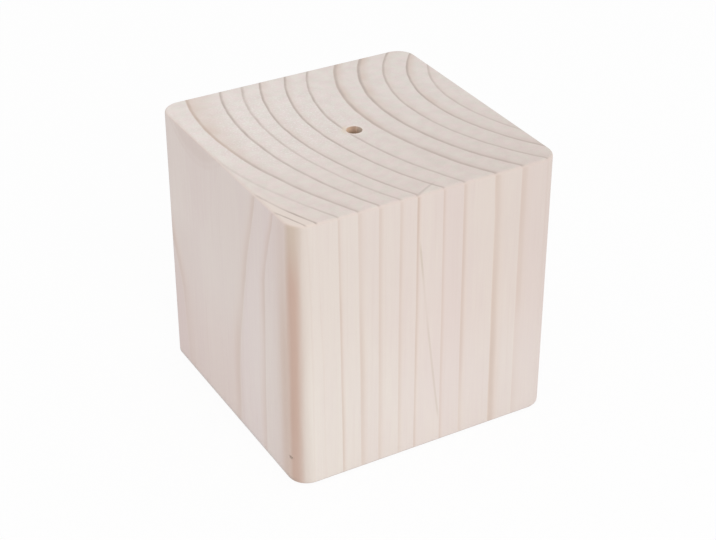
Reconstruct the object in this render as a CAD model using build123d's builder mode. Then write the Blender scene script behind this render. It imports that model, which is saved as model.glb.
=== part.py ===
from build123d import *
import os
from math import radians, tan

# A wooden cube: one length sawn off a planed square post. The post's four long edges
# are rounded, both sawn ends are sanded, and the top end is drilled for a screw.
# Millimetres, grain along +Z, origin at the middle of the base.

# The planed post
post_side = 100.0  # across the flats, both ways
long_edge_radius = 7.0  # rounding along the grain

# The saw cut and the sanding of its two ends
block_height = 100.0  # length sawn off the post
end_ease_radius = 1.2  # arris sanded round, all round each end

# The drilled pilot hole
hole_diameter = 5.5
hole_depth = 40.0  # straight wall, from the top end down
drill_point_angle = 118.0  # degrees across the cone that the drill leaves
drill_overrun = 1.0  # start of the cut above the top end

hole_radius = hole_diameter / 2
hole_floor = block_height - hole_depth
drill_point_length = hole_radius / tan(radians(drill_point_angle / 2))
drill_start = block_height + drill_overrun

with BuildPart() as wooden_cube:
    # The post's section, rounded at its corners, runs the whole height
    with BuildSketch(Plane.XY):
        RectangleRounded(post_side, post_side, long_edge_radius)
    extrude(amount=block_height)

    # Sanding breaks the arris round both sawn ends
    sawn_ends = wooden_cube.faces().filter_by(Axis.Z)
    fillet(sawn_ends.edges(), radius=end_ease_radius)

    # Half the drill's outline, turned about the upright axis: straight wall, then cone
    with BuildSketch(Plane.XZ):
        with BuildLine():
            Polyline(
                (0, drill_start),
                (hole_radius, drill_start),
                (hole_radius, hole_floor),
                (0, hole_floor - drill_point_length),
                close=True,
            )
        make_face()
    revolve(axis=Axis.Z, mode=Mode.SUBTRACT)

wooden_cube.part.label = "wooden_cube"

os.makedirs("parts", exist_ok=True)
export_step(wooden_cube.part, "parts/wooden_cube.step")
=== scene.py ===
# %% [markdown]
# # A wooden cube
# The object is one block of bare softwood: a length sawn off a planed square post, with the post's long
# edges rounded, both sawn ends sanded and a screw hole drilled down into the top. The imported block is
# loaded first. It fixes every size, so nothing here is measured twice: the block that is modelled below
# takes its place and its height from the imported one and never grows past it.

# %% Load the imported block
from math import cos, degrees, radians, sin, tan

import bmesh
import bpy
from mathutils import Matrix, Vector

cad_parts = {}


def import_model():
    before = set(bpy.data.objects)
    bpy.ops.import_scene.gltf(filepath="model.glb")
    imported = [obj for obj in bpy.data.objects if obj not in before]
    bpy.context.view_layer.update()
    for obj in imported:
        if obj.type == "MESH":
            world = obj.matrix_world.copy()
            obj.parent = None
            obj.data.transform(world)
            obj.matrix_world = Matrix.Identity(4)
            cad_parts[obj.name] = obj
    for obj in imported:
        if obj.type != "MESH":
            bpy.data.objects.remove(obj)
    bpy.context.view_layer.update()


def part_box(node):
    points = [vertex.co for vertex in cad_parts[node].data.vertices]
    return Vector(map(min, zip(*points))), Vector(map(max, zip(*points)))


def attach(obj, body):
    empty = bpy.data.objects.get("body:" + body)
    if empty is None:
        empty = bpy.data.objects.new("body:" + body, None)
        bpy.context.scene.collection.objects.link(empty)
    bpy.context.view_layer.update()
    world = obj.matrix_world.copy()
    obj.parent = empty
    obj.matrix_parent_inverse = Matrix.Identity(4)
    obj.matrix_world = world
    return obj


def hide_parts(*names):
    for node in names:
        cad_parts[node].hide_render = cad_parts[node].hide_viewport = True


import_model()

mm = 0.001
low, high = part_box("wooden_cube")
size = high - low
centre = (low + high) / 2
print("block", [round(side / mm, 2) for side in size], "mm")

# %% [markdown]
# ## The camera
# The photograph looks down on one upright edge from a little over half a metre away, through a long lens.
# A camera could be turned by hand until it looks right; here its direction is written as two angles and a
# distance from the point that it aims at, so that each can be changed by itself. The picture is 716
# pixels wide.

# %% Camera
picture_width = 716
focal_pixels = 1704.7
sensor_width = 36.0
camera_turn = radians(-29.675)
camera_rise = radians(31.395)
camera_reach = 628.4 * mm
camera_aim = Vector((10.9, 16.53, 32.38)) * mm

camera_back = Vector((
    sin(camera_turn) * cos(camera_rise),
    -cos(camera_turn) * cos(camera_rise),
    sin(camera_rise),
))
camera_data = bpy.data.cameras.new("camera")
camera_data.sensor_width = sensor_width
camera_data.lens = focal_pixels * sensor_width / picture_width
camera = bpy.data.objects.new("camera", camera_data)
camera.location = camera_aim + camera_back * camera_reach
camera.rotation_euler = camera_back.to_track_quat("Z", "Y").to_euler()
bpy.context.scene.collection.objects.link(camera)
bpy.context.scene.camera = camera
bpy.context.scene.view_settings.view_transform = "Standard"
print("lens", round(camera_data.lens, 2), "mm, camera at", [round(v / mm) for v in camera.location], "mm")

# %% [markdown]
# ## Floor and white surround
# The block stands on a plain white sweep. The floor is one large square that scatters light back up on to
# the sides, as white paper does. What the camera sees of it is mostly a plain white, mixed with the lit
# paper so that the soft shadow at the foot of the block stays. Light Path tells the two kinds of look
# apart.

# %% Floor
floor_half = 4.0
paper_white = (0.90, 0.90, 0.90, 1.0)
plain_white = (1.0, 1.0, 1.0, 1.0)
plain_share = 0.92  # how much of the seen floor is plain white


def seen_straight(tree):
    """1 where a ray comes from the camera, a mirror or glass, 0 for light that is scattered."""
    path = tree.nodes.new("ShaderNodeLightPath")
    seen = path.outputs["Is Camera Ray"]
    for kind in ("Is Glossy Ray", "Is Transmission Ray"):
        either = tree.nodes.new("ShaderNodeMath")
        either.operation = "MAXIMUM"
        tree.links.new(seen, either.inputs[0])
        tree.links.new(path.outputs[kind], either.inputs[1])
        seen = either.outputs[0]
    return seen


paper = bpy.data.materials.new("white_paper")
paper.use_nodes = True
paper_tree = paper.node_tree
paper_tree.nodes.clear()
lit_paper = paper_tree.nodes.new("ShaderNodeBsdfDiffuse")
lit_paper.inputs["Color"].default_value = paper_white
glow = paper_tree.nodes.new("ShaderNodeEmission")
glow.inputs["Color"].default_value = plain_white
share = paper_tree.nodes.new("ShaderNodeMath")
share.operation = "MULTIPLY"
share.inputs[1].default_value = plain_share
paper_tree.links.new(seen_straight(paper_tree), share.inputs[0])
paper_mix = paper_tree.nodes.new("ShaderNodeMixShader")
paper_tree.links.new(share.outputs[0], paper_mix.inputs["Fac"])
paper_tree.links.new(lit_paper.outputs[0], paper_mix.inputs[1])
paper_tree.links.new(glow.outputs[0], paper_mix.inputs[2])
paper_out = paper_tree.nodes.new("ShaderNodeOutputMaterial")
paper_tree.links.new(paper_mix.outputs[0], paper_out.inputs["Surface"])

floor_mesh = bpy.data.meshes.new("floor")
bm = bmesh.new()
bmesh.ops.create_grid(bm, x_segments=1, y_segments=1, size=floor_half)
bmesh.ops.translate(bm, verts=bm.verts, vec=(0, 0, low.z))
bm.to_mesh(floor_mesh)
bm.free()
floor_mesh.materials.append(paper)
floor = bpy.data.objects.new("floor", floor_mesh)
bpy.context.scene.collection.objects.link(floor)
print("floor", 2 * floor_half, "m square")

# %% [markdown]
# ## Light
# The light is that of a white tent: it comes from all round, so that there is hardly a shadow, and a
# little more of it from a large soft lamp in front and to the right. The dome is the world's own colour.
# It stays at a plain level, at which a colour renders about as it is written.

# %% World and lamp
dome_level = 0.86
lamp_power = 3.7
lamp_width = 0.9
lamp_direction = Vector((-0.15, -0.8, 0.58)).normalized()
lamp_reach = 1.3

world = bpy.data.worlds.new("white_tent")
bpy.context.scene.world = world
world.use_nodes = True
world_tree = world.node_tree
world_tree.nodes.clear()
dome = world_tree.nodes.new("ShaderNodeBackground")
dome.inputs["Color"].default_value = plain_white
dome.inputs["Strength"].default_value = dome_level
backdrop = world_tree.nodes.new("ShaderNodeBackground")
backdrop.inputs["Color"].default_value = plain_white
world_mix = world_tree.nodes.new("ShaderNodeMixShader")
world_tree.links.new(seen_straight(world_tree), world_mix.inputs["Fac"])
world_tree.links.new(dome.outputs[0], world_mix.inputs[1])
world_tree.links.new(backdrop.outputs[0], world_mix.inputs[2])
world_out = world_tree.nodes.new("ShaderNodeOutputWorld")
world_tree.links.new(world_mix.outputs[0], world_out.inputs["Surface"])

lamp_data = bpy.data.lights.new("soft_lamp", "AREA")
lamp_data.shape = "DISK"
lamp_data.size = lamp_width
lamp_data.energy = lamp_power
lamp = bpy.data.objects.new("soft_lamp", lamp_data)
lamp.location = centre + lamp_direction * lamp_reach
lamp.rotation_euler = lamp_direction.to_track_quat("Z", "Y").to_euler()
bpy.context.scene.collection.objects.link(lamp)
print("dome", dome_level, "lamp", lamp_power, "W")

# %% [markdown]
# ## The block's body
# A planer rounds the post's four long edges before it is cut to length, so the roundings run right
# through, and the sawn ends meet them at a crisp arris that sanding only breaks. A Bevel modifier could
# round everything alike; beveling in two passes keeps the two radii apart, as on the real block. Before
# the second pass the long straight edges are divided, so that the outline of each end has evenly spaced
# points for the hole to join on to.

# %% Post with rounded long edges
long_edge_radius = 7.0 * mm
long_edge_steps = 12
side_steps = 20
same = 1e-7


def is_upright(edge):
    """True for an edge that runs along the grain."""
    step = edge.verts[1].co - edge.verts[0].co
    return abs(step.z) > same and abs(step.x) < same and abs(step.y) < same


def is_level(item, height):
    """True for an edge or a face that lies at one height."""
    return all(abs(vert.co.z - height) < same for vert in item.verts)


bm = bmesh.new()
bmesh.ops.create_cube(bm, size=1.0)
bmesh.ops.scale(bm, verts=bm.verts, vec=size)
bmesh.ops.translate(bm, verts=bm.verts, vec=centre)
bmesh.ops.bevel(
    bm, geom=[edge for edge in bm.edges if is_upright(edge)], affect="EDGES", offset=long_edge_radius,
    offset_type="OFFSET", segments=long_edge_steps, profile=0.5, material=-1,
)
half_flat = size.x / 2 - long_edge_radius
long_edges = [edge for edge in bm.edges if not is_upright(edge) and edge.calc_length() > half_flat]
bmesh.ops.subdivide_edges(bm, edges=long_edges, cuts=side_steps - 1, use_grid_fill=True)
print("post:", len(bm.verts), "points round two ends")

# %% Sanded arris round both ends
end_ease = 1.2 * mm
end_ease_steps = 6

arris = [edge for edge in bm.edges if is_level(edge, low.z) or is_level(edge, high.z)]
bmesh.ops.bevel(
    bm, geom=arris, affect="EDGES", offset=end_ease, offset_type="OFFSET",
    segments=end_ease_steps, profile=0.5, material=-1,
)
print("after the ends are eased:", len(bm.faces), "faces")

# %% [markdown]
# ## The drilled hole
# A twist drill leaves a round straight wall, a cone at the bottom and a mouth whose edge is slightly
# broken. A Boolean could cut it, but that leaves long slivers on the top. Here the top's one large face
# is taken away, its outline is extruded in place, and the new points are drawn in on to a circle. That
# gives rows of four-sided faces that change evenly from square to round. The wall is then pulled down
# from the circle.

# %% Top with a round opening
hole_radius = 2.75 * mm
hole_depth = 40.0 * mm
drill_point = radians(118.0)
mouth_ease = 0.15 * mm
top_rows = 7

top_face = next(face for face in bm.faces if is_level(face, high.z))
outline = list(top_face.edges)
bmesh.ops.delete(bm, geom=[top_face], context="FACES_ONLY")
mouth = bmesh.ops.extrude_edge_only(bm, edges=outline)["geom"]
rim = [item for item in mouth if isinstance(item, bmesh.types.BMEdge)]
rim_verts = [item for item in mouth if isinstance(item, bmesh.types.BMVert)]
for vert in rim_verts:
    vert.co.xy = centre.xy + (vert.co.xy - centre.xy).normalized() * (hole_radius + mouth_ease)
spokes = [edge for vert in rim_verts for edge in vert.link_edges if edge not in rim]
bmesh.ops.subdivide_edges(bm, edges=spokes, cuts=top_rows - 1, use_grid_fill=True)
print("top:", len(outline), "points round the outline,", top_rows, "rows to the hole")

# %% Wall and drill point
wall_rows = 5
weld = 0.01 * mm


def pull(edges, down, narrow):
    """Extrudes a ring of edges straight down and draws it in towards the hole's axis."""
    made = bmesh.ops.extrude_edge_only(bm, edges=edges)["geom"]
    verts = [item for item in made if isinstance(item, bmesh.types.BMVert)]
    bmesh.ops.translate(bm, verts=verts, vec=(0, 0, -down))
    axis = Matrix.Translation((-centre.x, -centre.y, 0))
    bmesh.ops.scale(bm, verts=verts, vec=(narrow, narrow, 1), space=axis)
    return [item for item in made if isinstance(item, bmesh.types.BMEdge)]


ring = pull(rim, mouth_ease, hole_radius / (hole_radius + mouth_ease))
for row in range(wall_rows):
    ring = pull(ring, (hole_depth - mouth_ease) / wall_rows, 1.0)
tip = pull(ring, hole_radius / tan(drill_point / 2), 0.0)
tip_verts = list(dict.fromkeys(vert for edge in tip for vert in edge.verts))
bmesh.ops.remove_doubles(bm, verts=tip_verts, dist=weld)
bmesh.ops.recalc_face_normals(bm, faces=bm.faces)
print("hole:", round(hole_depth / mm, 1), "mm deep,", len(bm.faces), "faces in all")

# %% [markdown]
# ## The nick
# Low on the front rounding the block has one small dent, about two millimetres across, as from a knock.
# Bump in the material would not change the outline, so it is modelled: two cuts across the block set off
# a narrow band of faces, and the two faces of that band that lie on the dent are inset, pushed in and
# turned a little.

# %% Nick low on the front rounding
nick_height = 10.0 * mm
nick_tall = 1.1 * mm
nick_faces_wide = 2
nick_turn = radians(15.0)  # round the rounding, from the left side towards the right one
nick_deep = 0.4 * mm
nick_lip = 0.25 * mm
nick_slant = radians(20.0)

nick_out = Vector((-cos(nick_turn), -sin(nick_turn), 0))
front_axis = Vector((low.x + long_edge_radius, low.y + long_edge_radius, nick_height))
nick_place = front_axis + nick_out * long_edge_radius
for edge_height in (nick_height - nick_tall / 2, nick_height + nick_tall / 2):
    bmesh.ops.bisect_plane(
        bm, geom=list(bm.verts) + list(bm.edges) + list(bm.faces),
        plane_co=(0, 0, edge_height), plane_no=(0, 0, 1),
    )


def off_nick(face):
    """How far a face's middle lies from the nick."""
    return (face.calc_center_median() - nick_place).length


nick_faces = sorted(bm.faces, key=off_nick)[:nick_faces_wide]
bmesh.ops.inset_region(bm, faces=nick_faces, thickness=nick_lip, depth=0.0)
nick_verts = list(dict.fromkeys(vert for face in nick_faces for vert in face.verts))
bmesh.ops.translate(bm, verts=nick_verts, vec=-nick_out * nick_deep)
bmesh.ops.rotate(bm, verts=nick_verts, cent=nick_place, matrix=Matrix.Rotation(nick_slant, 3, nick_out))
print("nick at", [round(v / mm, 1) for v in nick_place], "mm")

# %% [markdown]
# ## From bmesh to object
# Smooth shading on its own would tilt the light across the flat sides, because each point on an edge
# averages the faces round it. The Weighted Normal modifier lets the large flat faces win, so flats stay
# flat and only the roundings turn.

# %% Finished block
flat_weight = 100

block_mesh = bpy.data.meshes.new("softwood_block")
for face in bm.faces:
    face.smooth = True
bm.to_mesh(block_mesh)
bm.free()
block = bpy.data.objects.new("softwood_block", block_mesh)
bpy.context.scene.collection.objects.link(block)
flats = block.modifiers.new("flat_sides", "WEIGHTED_NORMAL")
flats.weight = flat_weight
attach(block, "root")
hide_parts("wooden_cube")
print("block:", len(block_mesh.polygons), "faces")

# %% [markdown]
# ## The wood, as a solid
# The yearly rings run right through a real block: a line that crosses the top goes on down the side. A
# picture on each face would have to be fitted at every edge. A solid texture fits by itself: it works
# out, for each point in space, how far that point lies from the middle of the tree, and the faces just
# cut through it. Each helper below adds a node or two and sets them, so that a sum or a mix reads as one
# line.

# %% Helpers that add nodes
wood = bpy.data.materials.new("bare_softwood")
wood.use_nodes = True
wood_tree = wood.node_tree
wood_shader = wood_tree.nodes["Principled BSDF"]
mix_first, mix_second, mix_result = 6, 7, 2  # the colour sockets of a Mix node


def feed(socket, value):
    """Links another node's output to a socket, or sets a plain value on it."""
    if isinstance(value, bpy.types.NodeSocket):
        wood_tree.links.new(value, socket)
    else:
        socket.default_value = value


def calc(operation, first, second=0.0):
    """One Math node."""
    made = wood_tree.nodes.new("ShaderNodeMath")
    made.operation = operation
    feed(made.inputs[0], first)
    feed(made.inputs[1], second)
    return made.outputs[0]


def product(*factors):
    """Several numbers multiplied together."""
    total = factors[0]
    for factor in factors[1:]:
        total = calc("MULTIPLY", total, factor)
    return total


def vector_calc(operation, first, second=(0.0, 0.0, 0.0), output="Vector"):
    """One Vector Math node."""
    made = wood_tree.nodes.new("ShaderNodeVectorMath")
    made.operation = operation
    feed(made.inputs[0], first)
    feed(made.inputs[1], second)
    return made.outputs[output]


def ease(value, start, end, bottom=0.0, top=1.0):
    """A smooth step from bottom to top, as value goes from start to end."""
    made = wood_tree.nodes.new("ShaderNodeMapRange")
    made.interpolation_type = "SMOOTHSTEP"
    for socket, number in zip(made.inputs, (value, start, end, bottom, top)):
        feed(socket, number)
    return made.outputs["Result"]


def blend(share, first, second, way="MIX"):
    """Mixes two colours; a share of 0 gives the first, 1 the second, or the two multiplied."""
    made = wood_tree.nodes.new("ShaderNodeMix")
    made.data_type = "RGBA"
    made.blend_type = way
    feed(made.inputs[0], share)
    feed(made.inputs[mix_first], first)
    feed(made.inputs[mix_second], second)
    return made.outputs[mix_result]


print("helpers ready for", wood.name)

# %% [markdown]
# Object coordinates give the point, and a Mapping node turns metres into millimetres. Wood is streaky
# because its fibres are long, so each noise is squeezed across the grain and stretched along it: the two
# numbers say how many blots there are to a millimetre each way. A zone is a part of the block, such as
# its lower back: it is written as limits on rulers such as x, y and z, and its share fades softly between
# them. More rulers join these below, where each is first needed.

# %% Rulers, blots and zones
to_mm = wood_tree.nodes.new("ShaderNodeMapping")
to_mm.inputs["Scale"].default_value = (1 / mm, 1 / mm, 1 / mm)
place = wood_tree.nodes.new("ShaderNodeTexCoord")
feed(to_mm.inputs["Vector"], place.outputs["Object"])
point = to_mm.outputs["Vector"]
apart = wood_tree.nodes.new("ShaderNodeSeparateXYZ")
feed(apart.inputs[0], point)
x_mm, y_mm, z_mm = apart.outputs
ruler = {"x": x_mm, "y": y_mm, "z": z_mm}
top_mm = high.z / mm
right_mm = low.y / mm  # Y of the right side
noise_middle = 0.5


def blots(where, across, along, detail=2.0, roughness=0.5, output="Fac"):
    """A Noise Texture with so many blots to a millimetre across the grain and along it."""
    squeezed = wood_tree.nodes.new("ShaderNodeMapping")
    feed(squeezed.inputs["Vector"], where)
    squeezed.inputs["Scale"].default_value = (across, across, along)
    made = wood_tree.nodes.new("ShaderNodeTexNoise")
    feed(made.inputs["Vector"], squeezed.outputs["Vector"])
    made.inputs["Scale"].default_value = 1.0
    made.inputs["Detail"].default_value = detail
    made.inputs["Roughness"].default_value = roughness
    return made.outputs[output]


def zone(*shares, **limits):
    """1 in one part of the block and 0 outside it.

    Each limit is where the share starts and where it is full, on one ruler. A second pair is where it ends.
    """
    for name, limit in limits.items():
        for start, end in zip(limit[::2], limit[1::2]):
            shares += (ease(ruler[name], start, end),)
    return product(*shares)


def level_in(share, level):
    """1 outside a zone and the given level inside it."""
    return ease(share, 0.0, 1.0, 1.0, level)


print("rulers:", ", ".join(ruler), "in mm")

# %% [markdown]
# ## Distance from the pith
# The pith, the middle of the tree, lay well outside this block, beyond its back right side. A ready Wave
# Texture makes rings too, but only true circles of one width. Real rings are flatter on one flank than on
# the other, the stem leans a little, and the whole wanders and wavers by part of a millimetre. So the
# distance from the pith is worked out here, and each of those is one small term.

# %% Ring field
pith = (120.0, -4.0, 50.0)  # mm, at half height
lean = (0.028, -0.034)  # sideways drift of the rings for each mm of height
skew = 0.10
flank_back = 1.22
flank_front = 1.06
wander = {"across": 0.03, "along": 0.01}
wander_reach = 0.9
waver = {"across": 0.24, "along": 0.004}
waver_reach = 0.4


def sway(blot_sizes, reach):
    """A random sideways drift, in blots that are longer along the grain than across it."""
    drift = blots(point, **blot_sizes, output="Color")
    drift = vector_calc("SUBTRACT", drift, (noise_middle, noise_middle, noise_middle))
    return vector_calc("MULTIPLY", drift, (reach, reach, 0.0))


drifted = vector_calc("ADD", point, sway(wander, wander_reach))
drifted = vector_calc("ADD", drifted, sway(waver, waver_reach))
from_pith = vector_calc("SUBTRACT", drifted, pith)
across = vector_calc("DOT_PRODUCT", from_pith, (1.0, 0.0, lean[0]), "Value")
aside = vector_calc("DOT_PRODUCT", from_pith, (skew, 1.0, lean[1] + skew * lean[0]), "Value")
flank = calc("MAXIMUM", product(aside, flank_back), product(aside, flank_front))
oval = wood_tree.nodes.new("ShaderNodeCombineXYZ")
feed(oval.inputs["X"], across)
feed(oval.inputs["Y"], flank)
ruler["rings"] = vector_calc("LENGTH", oval.outputs[0], output="Value")
print("rings about", pith)

# %% [markdown]
# Some rings are pulled out of round, as on a stem that was never a perfect cone. The outermost widen
# towards the back left, bend in beside the front edge and swell near the top of the left side, and the
# middle ones curl more tightly at the back. Each line could be drawn by itself, but then it would have to
# be fitted on every face. A pull on the distance moves a whole ring through the block: so many
# millimetres for each millimetre past a line.

# %% Rings pulled out of round
hinge_line = -25.0  # Y
widen = 0.05
less_wide = 0.45  # share that the outermost rings lack
bend_in = 0.08
swell_centre = (-54.0, -25.0, 108.0)
swell_reach = 40.0
swell = 1.6
curl_line = 14.0  # Y
curl = 0.037


def past(line, value):
    """How far a value lies past a line, and 0 before it."""
    return calc("MAXIMUM", calc("SUBTRACT", value, line), 0.0)


def before(line, value):
    """How far a value lies short of a line, and 0 past it."""
    return calc("MAXIMUM", calc("SUBTRACT", line, value), 0.0)


widening = calc("SUBTRACT", zone(rings=(152.9, 162.0)), zone(less_wide, rings=(167.0, 172.0)))
widened = product(calc("SUBTRACT", y_mm, hinge_line), widen, widening)
bent = zone(before(hinge_line, y_mm), bend_in, rings=(167.0, 172.0, 181.0, 176.0))
off_swell = vector_calc("DISTANCE", point, swell_centre, "Value")
swollen = zone(ease(off_swell, swell_reach, 0.0, 0.0, swell), rings=(166.0, 171.0))
curled = zone(past(curl_line, y_mm), curl, rings=(111.0, 124.0, 152.0, 138.0))
for less in (widened, bent, swollen):
    ruler["rings"] = calc("SUBTRACT", ruler["rings"], less)
ruler["rings"] = calc("ADD", ruler["rings"], curled)
print("outer and middle rings shaped")

# %% [markdown]
# The lines on the sides do not run quite straight either. Of the two near the front of the left side, one
# bulges at a third of its height and the other slants. On the right side the middle rings stand more
# upright, and two of them turn aside as they reach it. The line at the back of the left side leans out as
# it rises. More noise would bend all of them alike, so each has a small term of its own, which leaves its
# neighbours alone.

# %% Lines that run off straight
bulge_height = 38.0
bulge_reach = 45.0
bulge = 0.6
slant_height = 33.0
slant = 0.013
slant_limit = 0.5
slant_at_top = 0.4  # how much of the slant is left there
righting = 0.009
tuck_line = -40.0  # Y
tuck = 0.085
hook_line = -25.0  # Y
hook = 0.04
hook_below = 0.55  # how much of the hook is left below the top
lift_height = 37.0
lift = 0.046
lift_least = -0.2
lift_most = 1.6

off_bulge = calc("ABSOLUTE", calc("SUBTRACT", z_mm, bulge_height))
bulging = zone(ease(off_bulge, bulge_reach, 0.0, 0.0, bulge), rings=(168.5, 170.8, 174.6, 173.2))
slanting = calc("MINIMUM", product(calc("SUBTRACT", z_mm, slant_height), slant), slant_limit)
slant_fade = ease(z_mm, start=top_mm, end=84.0, bottom=slant_at_top)
slanting = zone(slanting, slant_fade, rings=(173.2, 174.6))
ruler["rings"] = calc("ADD", ruler["rings"], calc("ADD", bulging, slanting))

below_top = calc("SUBTRACT", top_mm, z_mm)
upright = zone(below_top, righting, rings=(132.0, 138.0, 158.0, 153.5))
tucked = zone(before(tuck_line, y_mm), tuck, rings=(115.0, 119.0, 129.5, 125.5))
hook_fade = ease(z_mm, start=82.0, end=98.0, bottom=hook_below)
hooked = zone(before(hook_line, y_mm), hook, hook_fade, rings=(104.0, 108.5, 118.0, 114.0))
ruler["rings"] = calc("SUBTRACT", ruler["rings"], calc("ADD", upright, calc("ADD", tucked, hooked)))

lifting = calc("MAXIMUM", product(calc("SUBTRACT", z_mm, lift_height), lift), lift_least)
lifting = zone(calc("MINIMUM", lifting, lift_most), y=(12.0, 32.0), rings=(168.5, 170.5))
pulled = calc("SUBTRACT", ruler["rings"], lifting)
ruler["rings"] = pulled
print("lines on the sides shaped")

# %% [markdown]
# ## One year after another
# A tree grows a wide pale band in spring and a thin dark one at the end of summer. The widths of the
# years differ, so a plain sine wave would look drawn. A Float Curve turns distance into age: each year's
# width in millimetres gives one point of the curve. The whole part of the age is the year, and the rest
# tells how far the point lies inside the year's outer edge. More lists say how wide and how dark each
# year's late wood is and how far its stain reaches, because some summers were drier than others.

# %% Age, year and late wood
first_ring = 69.0
line_edge = 0.48  # mm from the middle of a dark line to its outer edge
mid_year = 0.5
year_widths = (8.5, 7.5, 8.5, 9.0, 8.5, 11.0, 8.0, 9.0, 6.0, 7.2, 8.3, 7.0, 4.35, 3.5, 7.15)
late_widths = (1.2, 1.2, 1.2, 2.7, 3.2, 1.8, 1.3, 1.2, 1.6, 1.8, 2.6, 1.2, 0.9, 0.7, 0.4)
side_strengths = (0.20, 0.20, 0.08, 0.38, 0.54, 0.38, 0.32, 0.55, 0.33, 0.29, 0.36, 0.50, 0.32, 0.46, 0.0)
end_strengths = (0.54, 0.86, 0.74, 0.88, 0.78, 0.80, 0.94, 0.90, 0.60, 0.92, 0.88, 0.34, 0.68, 0.63, 0.0)
stain_strengths = (0.30, 0.66, 0.38, 0.85, 0.90, 0.25, 0.42, 0.45, 0.20, 0.30, 0.72, 0.10, 0.10, 0.0, 0.0)
stain_reaches = (4.6, 4.6, 4.6, 5.5, 4.8, 4.0, 4.0, 5.0, 3.0, 3.6, 9.0, 3.0, 3.0, 3.0, 3.0)
stain_front, stain_back = 4.6, 8.5  # the furthest that a stain reaches there
late_scale = 3.5  # a curve's values stay below 1, so widths are divided by this and multiplied again

years = len(year_widths)
span = sum(year_widths)


def curve_through(points, value):
    """A Float Curve with straight runs through the points."""
    made = wood_tree.nodes.new("ShaderNodeFloatCurve")
    for along, up in points:
        made.mapping.curves[0].points.new(along, up)
    for curve_point in made.mapping.curves[0].points:
        curve_point.handle_type = "VECTOR"
    made.mapping.update()
    feed(made.inputs["Value"], value)
    return made.outputs[0]


year_ends = [(sum(year_widths[:year]) / span, year / years) for year in range(1, years)]
grown = calc("DIVIDE", calc("SUBTRACT", pulled, first_ring + line_edge), span)
age = product(curve_through(year_ends, grown), float(years))
season = calc("FRACT", age)
year_number = calc("FLOOR", age)
year_middle = calc("DIVIDE", calc("ADD", year_number, mid_year), float(years))


def by_year(values, scale=1.0):
    """Looks up one value for each year, at the year's middle."""
    points = [((year + mid_year) / years, value / scale) for year, value in enumerate(values)]
    return product(curve_through(points, year_middle), scale)


gap = product(calc("SUBTRACT", 1.0, season), by_year(year_widths, max(year_widths)))
late_width = by_year(late_widths, late_scale)
side_strength = by_year(side_strengths)
end_strength = by_year(end_strengths)
stain_strength = by_year(stain_strengths)
stain_limit = ease(y_mm, start=-5.0, end=18.0, bottom=stain_front, top=stain_back)
stain_reach = calc("MINIMUM", by_year(stain_reaches, max(stain_reaches)), stain_limit)
print(years, "years over", round(span, 2), "mm")

# %% [markdown]
# ## Which way the surface cuts the grain
# On a sawn end the fibres are cut across and the late wood shows as thin grey-brown lines. On the sides
# the fibres lie along the surface and the same lines are fainter. Two materials could be given to the two
# kinds of face, but the surface's own direction tells them apart too, and on the eased arris it passes
# smoothly from one to the other. Sanding has blurred the lines there.

# %% End grain and side grain
arris_lines = 0.3  # how much of a line is left where it turns over the arris

facing = wood_tree.nodes.new("ShaderNodeSeparateXYZ")
feed(facing.inputs[0], place.outputs["Normal"])
ruler["facing_x"] = facing.outputs["X"]
ruler["facing_y"] = facing.outputs["Y"]
tilt = calc("ABSOLUTE", facing.outputs["Z"])  # 0 on the sides, 1 on the ends
ruler["tilt"] = tilt
end_grain = zone(tilt=(0.4, 0.95))
end_flat = ease(tilt, start=0.6, end=0.97, bottom=arris_lines)
side_flat = ease(tilt, start=0.6, end=0.05, bottom=arris_lines)
left_side = zone(facing_x=(-0.6, -0.95))
right_side = zone(facing_y=(-0.5, -0.9))
print("ends and sides told apart")

# %% [markdown]
# Late wood darkens slowly through the summer and stops at once in autumn, so each line has a soft side
# and a sharp one, and a fainter tail inside it. A Color Ramp over the season could draw that, but a
# season is wider in some years than in others. The gap to the year's outer edge is in millimetres, so a
# line that is drawn from it is as wide as its list says.

# %% Late wood as lines and tails
back_blur = 1.2  # how much wider the lines are towards the back of the left side
end_width_share = 0.25  # the lines on the ends differ less in width than those on the sides
end_width_least = 1.12
full_share = 0.3  # share of a line's width from which it is full
end_edge_share = 0.35
side_edge_share = 0.2
end_tail_edge = 0.4  # mm
side_tail_edge = 0.2
side_tail_full = 0.3
side_tail_reach = 1.7  # times the line's width


def late_line(width, edge_share):
    """A line that starts at the year's edge, sharply or softly, and fades inwards over the given width."""
    return product(
        ease(gap, 0.0, product(width, edge_share)),
        ease(gap, width, product(width, full_share)),
    )


back_zone = zone(y=(5.0, 20.0), x=(-46.0, -49.0))
side_width = product(late_width, level_in(back_zone, back_blur))
end_width = calc("ADD", product(late_width, end_width_share), end_width_least)
end_line = late_line(end_width, end_edge_share)
side_line = late_line(side_width, side_edge_share)
end_tail = product(ease(gap, stain_reach, 0.0), ease(gap, 0.0, end_tail_edge))
side_tail = ease(gap, product(side_width, side_tail_reach), side_tail_full)
side_tail = product(side_tail, ease(gap, 0.0, side_tail_edge))
print("late wood drawn for ends and sides")

# %% [markdown]
# ## How strong each line is on the sides
# The lines of the sides come and go a little over the height, and some stretches are plainly fainter or
# stronger than the rest. A painted mask could say so, but it would need an image and a UV map. Here a
# slow noise does most of it, a zone says where a stretch is, and a level says how much of its lines is
# left there.

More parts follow.
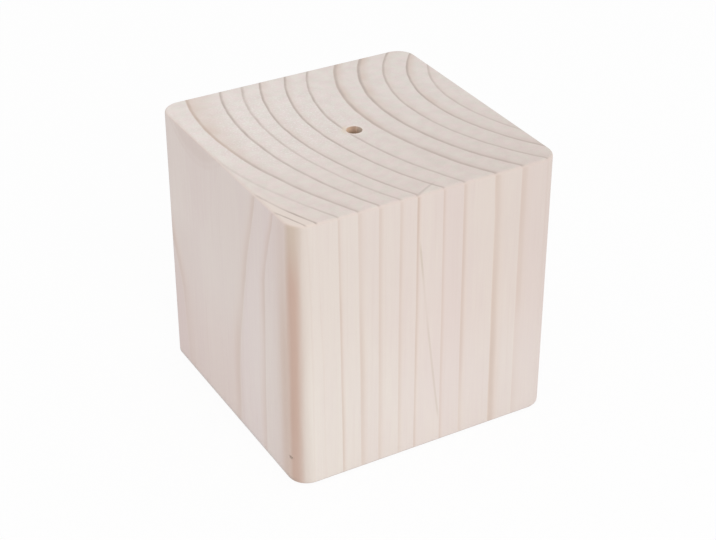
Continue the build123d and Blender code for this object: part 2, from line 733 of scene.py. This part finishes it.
# %% Strength of the side lines
coming_going = blots(point, across=0.12, along=0.018, detail=1.0)
coming_going = ease(coming_going, start=0.3, end=0.7, bottom=0.6, top=1.15)
line_levels = {
    "outermost, at the front": (zone(rings=(169.0, 171.0), y=(-44.0, -47.0)), 0.25),
    "in the bow, high on the left": (zone(rings=(170.3, 169.3), x=(-38.0, -44.0), y=(-12.0, 0.0)), 0.03),
    "back of the left side": (back_zone, ease(z_mm, start=24.0, end=56.0, bottom=0.5, top=1.7)),
    "near the front, high on the right": (zone(right_side, rings=(161.0, 163.0), z=(60.0, 82.0)), 0.55),
    "far right, low": (zone(rings=(103.0, 102.5), z=(55.0, 35.0)), 0.42),
    "slanting one on the left": (
        zone(left_side, rings=(172.4, 173.0)),
        ease(z_mm, start=30.0, end=60.0, bottom=0.7, top=1.1),
    ),
    "middle of the right side": (
        zone(rings=(131.0, 132.0, 140.2, 139.8)),
        ease(z_mm, start=15.0, end=80.0, bottom=0.68, top=1.4),
    ),
}

side_share = product(side_strength, coming_going, side_flat)
for stretch, level in line_levels.values():
    side_share = product(side_share, level_in(stretch, level))
print("line strengths:", "; ".join(line_levels))

# %% [markdown]
# ## Colours of the sides
# Planed softwood is pale and slightly pink. A plain colour ramp would make all years alike, so each year
# gets its own lean towards cream or pink, from a White Noise node that reads the year's number. Broad
# blots and long thin ones along the grain add to that lean, and the thinnest give the fibres. On the
# right side the outermost year is creamier and one of the inner years is pinker.

# %% Side colour
side_cream = (0.812, 0.723, 0.660, 1.0)
side_pink = (0.785, 0.679, 0.636, 1.0)
side_warm = (0.760, 0.600, 0.515, 1.0)
side_late = (0.640, 0.510, 0.435, 1.0)
fibre_dark = (0.725, 0.612, 0.550, 1.0)
year_lean = 0.25
broad_lean = 0.4
streak_lean = 0.35
creamier = 0.2
pinker = 0.12
tail_share = 0.9

year_tint = wood_tree.nodes.new("ShaderNodeTexWhiteNoise")
year_tint.noise_dimensions = "1D"
feed(year_tint.inputs["W"], year_number)
broad_tint = blots(point, across=0.06, along=0.015, detail=1.0)
streaks = blots(drifted, across=0.6, along=0.05)
fibres = blots(drifted, across=1.6, along=0.02, detail=3.0, roughness=0.6)
tint_share = calc("ADD", product(year_tint.outputs["Value"], year_lean), product(broad_tint, broad_lean))
tint_share = calc("SUBTRACT", tint_share, zone(right_side, creamier, rings=(172.0, 172.6)))
tint_share = calc("ADD", tint_share, zone(right_side, pinker, rings=(103.0, 103.5, 111.4, 110.9)))
tint_share = calc("ADD", tint_share, product(streaks, streak_lean))

side_colour = blend(ease(tint_share, start=0.3, end=0.7), side_cream, side_pink)
side_colour = blend(ease(fibres, start=0.45, end=0.85, top=0.3), side_colour, fibre_dark)
side_colour = blend(product(side_tail, side_share, tail_share), side_colour, side_warm)
side_colour = blend(product(side_line, side_share), side_colour, side_late)
print("side colours set")

# %% [markdown]
# Near the top of the left side one ring only grazes the surface, in a shallow bow that is hardly darker
# than the rest. The ring field could give it, but where a ring just touches a face, a tenth of a
# millimetre moves the bow a long way. So it is drawn as a parabola: a faint line along it and a blotchy
# patch above it.

# %% Bow near the top of the left side
bow_tan = (0.690, 0.575, 0.510, 1.0)
bow_low = (21.0, 91.5)  # Y and Z of the bow's lowest point
bow_curve = 0.02
bow_line_share = 0.2
bow_patch_share = 0.3

bow_aside = calc("SUBTRACT", y_mm, bow_low[0])
bow_rise = calc("SUBTRACT", calc("SUBTRACT", z_mm, bow_low[1]), product(bow_aside, bow_aside, bow_curve))
bow_line = product(ease(calc("ABSOLUTE", bow_rise), start=1.3, end=0.2), bow_line_share)
bow_patch = calc("ADD", bow_line, ease(bow_rise, start=0.0, end=3.0, top=bow_patch_share))
bow_blots = ease(blots(point, across=0.07, along=0.12), start=0.35, end=0.65, bottom=0.4, top=1.25)
side_colour = blend(product(bow_patch, bow_blots, left_side), side_colour, bow_tan)
print("bow at", bow_low)

# %% [markdown]
# Wood is never one shade all over, and parts of each side lean to pink or to grey. Some zones here are
# painted light and shade instead: the right side is painted darker at the top and paler towards its foot,
# as bounce light from the floor; the whole left side is painted darker and greyer and its back rounding
# darker, as painted shade; and the far rounding of the right side is painted lighter. Vertex colours could
# hold this, but they would tie the shades to the mesh. Here each is a zone, with the shade that the colour
# is multiplied by there.

# %% Shades of the two sides, some painted light and shade
near_part = zone(right_side, x=(8.0, -34.0))
back_height = ease(z_mm, start=5.0, end=30.0, bottom=0.5)
young_height = ease(z_mm, start=90.0, end=60.0, bottom=0.3)
side_tints_and_painted_light = {
    # painted light: the right side darker at the top, paler towards its foot
    "right, top": (zone(right_side, z=(5.0, 95.0)), (0.930, 0.925, 0.925, 1.0)),
    # painted shade: the whole left side darker and greyer
    "left": (left_side, (0.945, 0.950, 0.975, 1.0)),
    "left, top": (zone(left_side, z=(40.0, 98.0)), (0.970, 0.960, 0.960, 1.0)),
    "left, low": (zone(left_side, z=(60.0, 15.0), y=(-20.0, 5.0)), (0.985, 0.955, 0.955, 1.0)),
    "left, back": (zone(left_side, back_height, y=(15.0, 38.0), z=(66.0, 54.0)), (0.970, 0.960, 0.958, 1.0)),
    # painted shade on the back rounding of the left side
    "left, back edge": (zone(y=(41.5, 46.0), x=(-40.0, -44.0)), (0.955, 0.966, 0.972, 1.0)),
    "left, young year": (
        zone(left_side, young_height, rings=(172.3, 172.9, 175.9, 175.3), y=(5.0, -5.0)),
        (1.026, 1.036, 1.044, 1.0),
    ),
    "right, near": (near_part, (0.974, 0.987, 0.987, 1.0)),
    # painted bounce light: the right side paler and cooler towards its foot
    "right, near foot": (zone(near_part, z=(70.0, 20.0)), (1.000, 1.018, 1.022, 1.0)),
    "right, far foot": (zone(right_side, x=(-34.0, 8.0), z=(55.0, 20.0)), (1.000, 1.022, 1.035, 1.0)),
    # painted light on the far rounding of the right side
    "right, far edge": (zone(x=(43.0, 48.0), y=(-40.0, -46.0)), (1.035, 1.030, 1.026, 1.0)),
}

for part, shade in side_tints_and_painted_light.values():
    side_colour = blend(part, side_colour, shade, "MULTIPLY")
print("shaded:", "; ".join(side_tints_and_painted_light))

# %% [markdown]
# ## Colours of the ends
# Sanding leaves the cut fibre ends greyish, with a patch of whiter specks that is partly painted glint,
# and fine rays point to the pith. The outermost rings are creamy. One noise alone would look like stone, so
# there are several, each at the size of what it stands for. The rays are noise in polar coordinates, long
# out from the pith and narrow round it.

# %% End colour
end_white = (0.800, 0.730, 0.692, 1.0)
end_grey = (0.750, 0.682, 0.645, 1.0)
end_cream = (0.835, 0.745, 0.680, 1.0)
end_frost_glint = (0.890, 0.845, 0.825, 1.0)
end_pink = (1.014, 0.980, 0.988, 1.0)
end_green = (0.990, 1.014, 0.990, 1.0)
frost_glint_centre = (-22.0, 15.0, top_mm)
rays_round = 260.0  # blots of the rays for each radian round the pith
rays_out = 0.12  # and for each mm out from it

bearing = calc("ARCTAN2", flank, across)
ray_space = wood_tree.nodes.new("ShaderNodeCombineXYZ")
feed(ray_space.inputs["X"], product(bearing, rays_round))
feed(ray_space.inputs["Y"], product(pulled, rays_out))
rays = blots(ray_space.outputs[0], across=1.0, along=1.0)
mottle = blots(point, across=0.22, along=0.22, detail=3.0)
speckle = blots(point, across=1.3, along=1.3, detail=3.0, roughness=0.75)
off_frost_glint = vector_calc("DISTANCE", point, frost_glint_centre, "Value")
frost_glint = ease(off_frost_glint, start=42.0, end=12.0, bottom=0.2, top=0.9)
end_tint = ease(blots(drifted, across=0.3, along=0.3), start=0.35, end=0.65)

end_colour = blend(ease(mottle, start=0.3, end=0.75), end_white, end_grey)
end_colour = blend(1.0, end_colour, blend(end_tint, end_pink, end_green), "MULTIPLY")
end_colour = blend(ease(rays, start=0.45, end=0.8, top=0.3), end_colour, end_grey)
# whiter specks: partly sanded fibre ends, partly painted glint
end_colour = blend(product(ease(speckle, start=0.50, end=0.67), frost_glint), end_colour, end_frost_glint)
end_colour = blend(ease(pulled, start=168.0, end=174.0, top=0.8), end_colour, end_cream)
print("end colours set")

# %% [markdown]
# The lines on the top are darker towards the back, where the late wood beside them is stained a warm
# orange; at the front the stain is duller. The top as a whole is painted darker and greyer towards the
# front, as painted shade. The outermost lines fade out towards the back left corner and are strongest at
# the front. The sides' lines could simply go on over the top, but sanding leaves those on the ends thinner
# and darker, so they have colours and strengths of their own.

# %% Lines and stains of the ends
end_warm = (0.678, 0.550, 0.478, 1.0)
end_dull = (0.694, 0.603, 0.560, 1.0)
end_late = (0.500, 0.425, 0.385, 1.0)
end_late_warm = (0.560, 0.448, 0.378, 1.0)
front_painted_shade = (0.915, 0.892, 0.880, 1.0)
corner_level = 0.0  # how much is left of the outermost lines at the back left corner
front_level = 1.9  # and at the front

stain_fading = ease(blots(point, across=0.09, along=0.09), start=0.3, end=0.7, bottom=0.65, top=1.25)
stain_share = product(end_tail, stain_strength, stain_fading, end_flat)
stain_colour = blend(zone(y=(-20.0, 12.0)), end_dull, end_warm)
line_fading = ease(blots(point, across=0.16, along=0.03), start=0.3, end=0.7, bottom=0.8, top=1.15)
back_darker = ease(y_mm, start=-30.0, end=25.0, bottom=0.76, top=1.08)
line_share = product(end_line, end_strength, line_fading, end_flat, back_darker)
outer_rings = zone(rings=(163.0, 165.0))
line_share = product(line_share, level_in(zone(outer_rings, y=(0.0, 15.0)), corner_level))
line_share = product(line_share, level_in(zone(outer_rings, y=(-35.0, -43.0)), front_level))
line_colour = blend(zone(rings=(154.0, 156.0), y=(-8.0, 12.0)), end_late, end_late_warm)

end_colour = blend(stain_share, end_colour, stain_colour)
end_colour = blend(line_share, end_colour, line_colour)
# painted shade: the top darker and greyer towards the front
end_colour = blend(zone(y=(30.0, -54.0)), end_colour, front_painted_shade, "MULTIPLY")
print("end lines set")

# %% [markdown]
# Ends and sides are now joined to one colour over the eased arris, which is painted a touch warmer and
# darker, as painted shade where the arris would catch more light. A material for each would meet in a hard
# line there; a mix by the surface's direction leaves no seam. The wood nearer the pith is a shade darker
# too.

# %% Joined colour and heartwood
heart_shade = (0.940, 0.935, 0.930, 1.0)
arris_painted_shade = (0.980, 0.960, 0.950, 1.0)

wood_colour = blend(end_grain, side_colour, end_colour)
# painted shade on the arris, which would catch more light
wood_colour = blend(zone(tilt=(0.1, 0.45, 0.99, 0.8)), wood_colour, arris_painted_shade, "MULTIPLY")
wood_colour = blend(zone(rings=(178.0, 80.0)), wood_colour, heart_shade, "MULTIPLY")
print("ends and sides joined")

# %% [markdown]
# ## Marks of this one block
# The front rounding cuts along the late wood of one year, which shows as a broad reddish-brown band with
# tan flanks. The rings run almost along the surface there and would smear, so the band is given a place
# of its own, in degrees round the rounding from the left side to the right one. A slow noise makes its
# edges wobble. Towards the top the brown gives way to tan.

# %% Brown band on the front rounding
band_brown = (0.563, 0.398, 0.327, 1.0)
band_tan = (0.590, 0.480, 0.400, 1.0)
flank_tan = (0.660, 0.530, 0.465, 1.0)
edge_tan = (0.660, 0.565, 0.505, 1.0)
edge_level = 0.9
band_wobble = 14.0  # degrees
top_wobble = 16.0  # mm
rounding_axis = (low.x + long_edge_radius) / mm

turn = calc("ARCTAN2", calc("SUBTRACT", rounding_axis, y_mm), calc("SUBTRACT", rounding_axis, x_mm))
band_blots = blots(point, across=0.35, along=0.025)
wobble = product(calc("SUBTRACT", band_blots, noise_middle), band_wobble)
ruler["turn"] = calc("ADD", product(turn, degrees(1.0)), wobble)
ruler["band_top"] = calc("ADD", z_mm, product(band_blots, top_wobble))
on_front = zone(calc("SUBTRACT", 1.0, end_grain), x=(-38.0, -42.0), y=(-30.0, -34.0))
flank_fade = ease(z_mm, start=top_mm, end=50.0, bottom=0.4)
core_fade = ease(z_mm, start=4.0, end=30.0, bottom=0.85, top=0.97)
core_colour = blend(zone(band_top=(106.0, 82.0)), band_tan, band_brown)
wood_colour = blend(zone(on_front, flank_fade, turn=(-58.0, 0.0, 50.0, 30.0)), wood_colour, flank_tan)
wood_colour = blend(zone(on_front, edge_level, turn=(25.0, 45.0, 88.0, 48.0)), wood_colour, edge_tan)
wood_colour = blend(zone(on_front, core_fade, turn=(5.0, 26.0, 66.0, 36.0)), wood_colour, core_colour)
print("band set round", round(rounding_axis, 1), "mm")

# %% [markdown]
# A thin line of resin slants across the right side, a little bowed, and comes out on the top for a few
# millimetres. A curve object could be laid on the wood, but resin lies in it and stands no prouder, so it
# is a colour. Its path is how far it lies to the right of its start for each millimetre down the side or
# back over the top, and its strength comes and goes over the height.

# %% Resin line
resin_brown = (0.560, 0.470, 0.375, 1.0)
resin_grey = (0.500, 0.435, 0.395, 1.0)
resin_start = -5.8  # X where the right side meets the top
resin_slant = 0.095
resin_bow = 0.00025
resin_back = 1.86
resin_gap_height = 58.0  # where the line is faintest
resin_sharp = 0.25  # share of the line's half width that is full
resin_on_top = 0.5

resin_down = calc("ADD", product(below_top, resin_slant), product(below_top, below_top, resin_bow))
resin_path = calc("ADD", resin_down, product(calc("SUBTRACT", y_mm, right_mm), resin_back))
resin_off = calc("ABSOLUTE", calc("SUBTRACT", calc("SUBTRACT", x_mm, resin_start), resin_path))
off_gap = calc("ABSOLUTE", calc("SUBTRACT", z_mm, resin_gap_height))
resin_thick = ease(off_gap, start=3.0, end=14.0, bottom=0.12, top=0.33)
resin_thick = calc("ADD", resin_thick, ease(z_mm, start=67.0, end=75.0, top=0.18))
resin_seen = calc("MAXIMUM", zone(resin_thick, z=(84.0, 78.0)), product(end_grain, resin_on_top))
resin_wide = ease(end_grain, start=0.0, end=1.0, bottom=0.6, top=1.3)
resin_line = ease(resin_off, resin_wide, product(resin_wide, resin_sharp))
resin_share = zone(resin_line, resin_seen, y=(-44.5, -46.0), z=(8.0, 14.0))
wood_colour = blend(resin_share, wood_colour, blend(end_grain, resin_brown, resin_grey))
print("resin line from", resin_start, "mm")

# %% [markdown]
# The drill has torn a pale ring round the hole's mouth, with a tan stain beside it. The wall's colours are
# painted light and shade: tan on the side that faces the light, greyer on the other, and brown further
# down, where little light comes. The wall could have a material of its own, but a mask by the distance from
# it keeps the block one piece with one finish.

# %% Hole
hole_lit_tan = (0.920, 0.680, 0.500, 1.0)
hole_mid = (0.600, 0.425, 0.320, 1.0)
hole_shaded_grey = (0.620, 0.530, 0.445, 1.0)
hole_shade_brown = (0.360, 0.250, 0.165, 1.0)
rim_tan = (0.720, 0.610, 0.480, 1.0)
torn_level = 0.4
stain_level = 0.7
hole_right = (0.87, -0.5, 0.0)  # the way across the hole that the wall's colour changes along
hole_mm = hole_radius / mm

flat_point = vector_calc("MULTIPLY", point, (1.0, 1.0, 0.0))
from_axis = vector_calc("LENGTH", flat_point, output="Value")
ruler["from_wall"] = calc("SUBTRACT", from_axis, hole_mm)
hole_aside = vector_calc("DOT_PRODUCT", point, hole_right, "Value")
ruler["hole_aside"] = hole_aside
torn_rim = zone(end_grain, torn_level, from_wall=(1.4, 0.3))
rim_stain = zone(end_grain, stain_level, from_wall=(2.4, 0.4), hole_aside=(-2.0, -3.6))
in_hole = zone(from_wall=(0.16, 0.04), z=(top_mm, 99.8))
brown_across = ease(hole_aside, start=hole_mm, end=-0.5, bottom=0.45)
# painted light and shade on the wall: lit tan, shaded grey, brown deeper down
hole_colour = blend(zone(hole_aside=(-hole_mm, 0.0)), hole_lit_tan, hole_mid)
hole_colour = blend(zone(hole_aside=(0.2, 2.2)), hole_colour, hole_shaded_grey)
hole_colour = blend(zone(brown_across, z=(98.8, 96.5)), hole_colour, hole_shade_brown)
wood_colour = blend(torn_rim, wood_colour, end_cream)
wood_colour = blend(rim_stain, wood_colour, rim_tan)
wood_colour = blend(in_hole, wood_colour, hole_colour)
print("hole", 2 * hole_mm, "mm across")

# %% [markdown]
# The nick and the very foot of each side are painted a little darker, as painted shadow. The dent's own
# shadow would be too faint at this size, so a small ball of brown is set in the wood round it, and the foot
# is darkened where the block stands.

# %% Nick and foot, painted shadow
nick_shade_brown = (0.400, 0.310, 0.245, 1.0)
nick_shade_level = 0.8
left_foot_shadow = (0.865, 0.900, 0.920, 1.0)
right_foot_shadow = (0.900, 0.930, 0.950, 1.0)

off_dent = vector_calc("DISTANCE", point, tuple(nick_place / mm), "Value")
# painted shadow in the nick
wood_colour = blend(ease(off_dent, start=0.95, end=0.35, top=nick_shade_level), wood_colour, nick_shade_brown)
# painted contact shadow at the foot of each side
wood_colour = blend(zone(left_side, z=(2.6, 0.8)), wood_colour, left_foot_shadow, "MULTIPLY")
wood_colour = blend(zone(right_side, z=(1.0, 0.4)), wood_colour, right_foot_shadow, "MULTIPLY")
feed(wood_shader.inputs["Base Color"], wood_colour)
print("marks set")

# %% [markdown]
# ## Sheen and touch
# Bare wood is dull, with a faint sheen along the fibres where late wood is dense. Its relief is a few
# hundredths of a millimetre, far too fine to model, so it is bump: fibre on the sides, fine grit on the
# sanded ends, and the late wood standing a hair proud of the rest.

# %% Roughness and bump
specular_level = 0.3
rough_least = 0.56
rough_fibres = 0.16
late_sheen = 0.08
side_relief = {"fibres": 0.7, "late": 0.3}
end_relief = {"grit": 0.6, "late": 0.4}
relief_strength = 0.5
relief_depth = 0.06 * mm

wood_shader.inputs["Specular IOR Level"].default_value = specular_level
rough = calc("ADD", product(fibres, rough_fibres), rough_least)
feed(wood_shader.inputs["Roughness"], calc("SUBTRACT", rough, product(side_line, late_sheen)))

side_height = calc("ADD", product(fibres, side_relief["fibres"]), product(side_line, side_relief["late"]))
end_height = calc("ADD", product(speckle, end_relief["grit"]), product(end_line, end_relief["late"]))
height_mix = wood_tree.nodes.new("ShaderNodeMix")
feed(height_mix.inputs["Factor"], end_grain)
feed(height_mix.inputs["A"], side_height)
feed(height_mix.inputs["B"], end_height)
relief = wood_tree.nodes.new("ShaderNodeBump")
relief.inputs["Strength"].default_value = relief_strength
relief.inputs["Distance"].default_value = relief_depth
feed(relief.inputs["Height"], height_mix.outputs["Result"])
feed(wood_shader.inputs["Normal"], relief.outputs["Normal"])
block_mesh.materials.append(wood)
print("finish on", block.name)
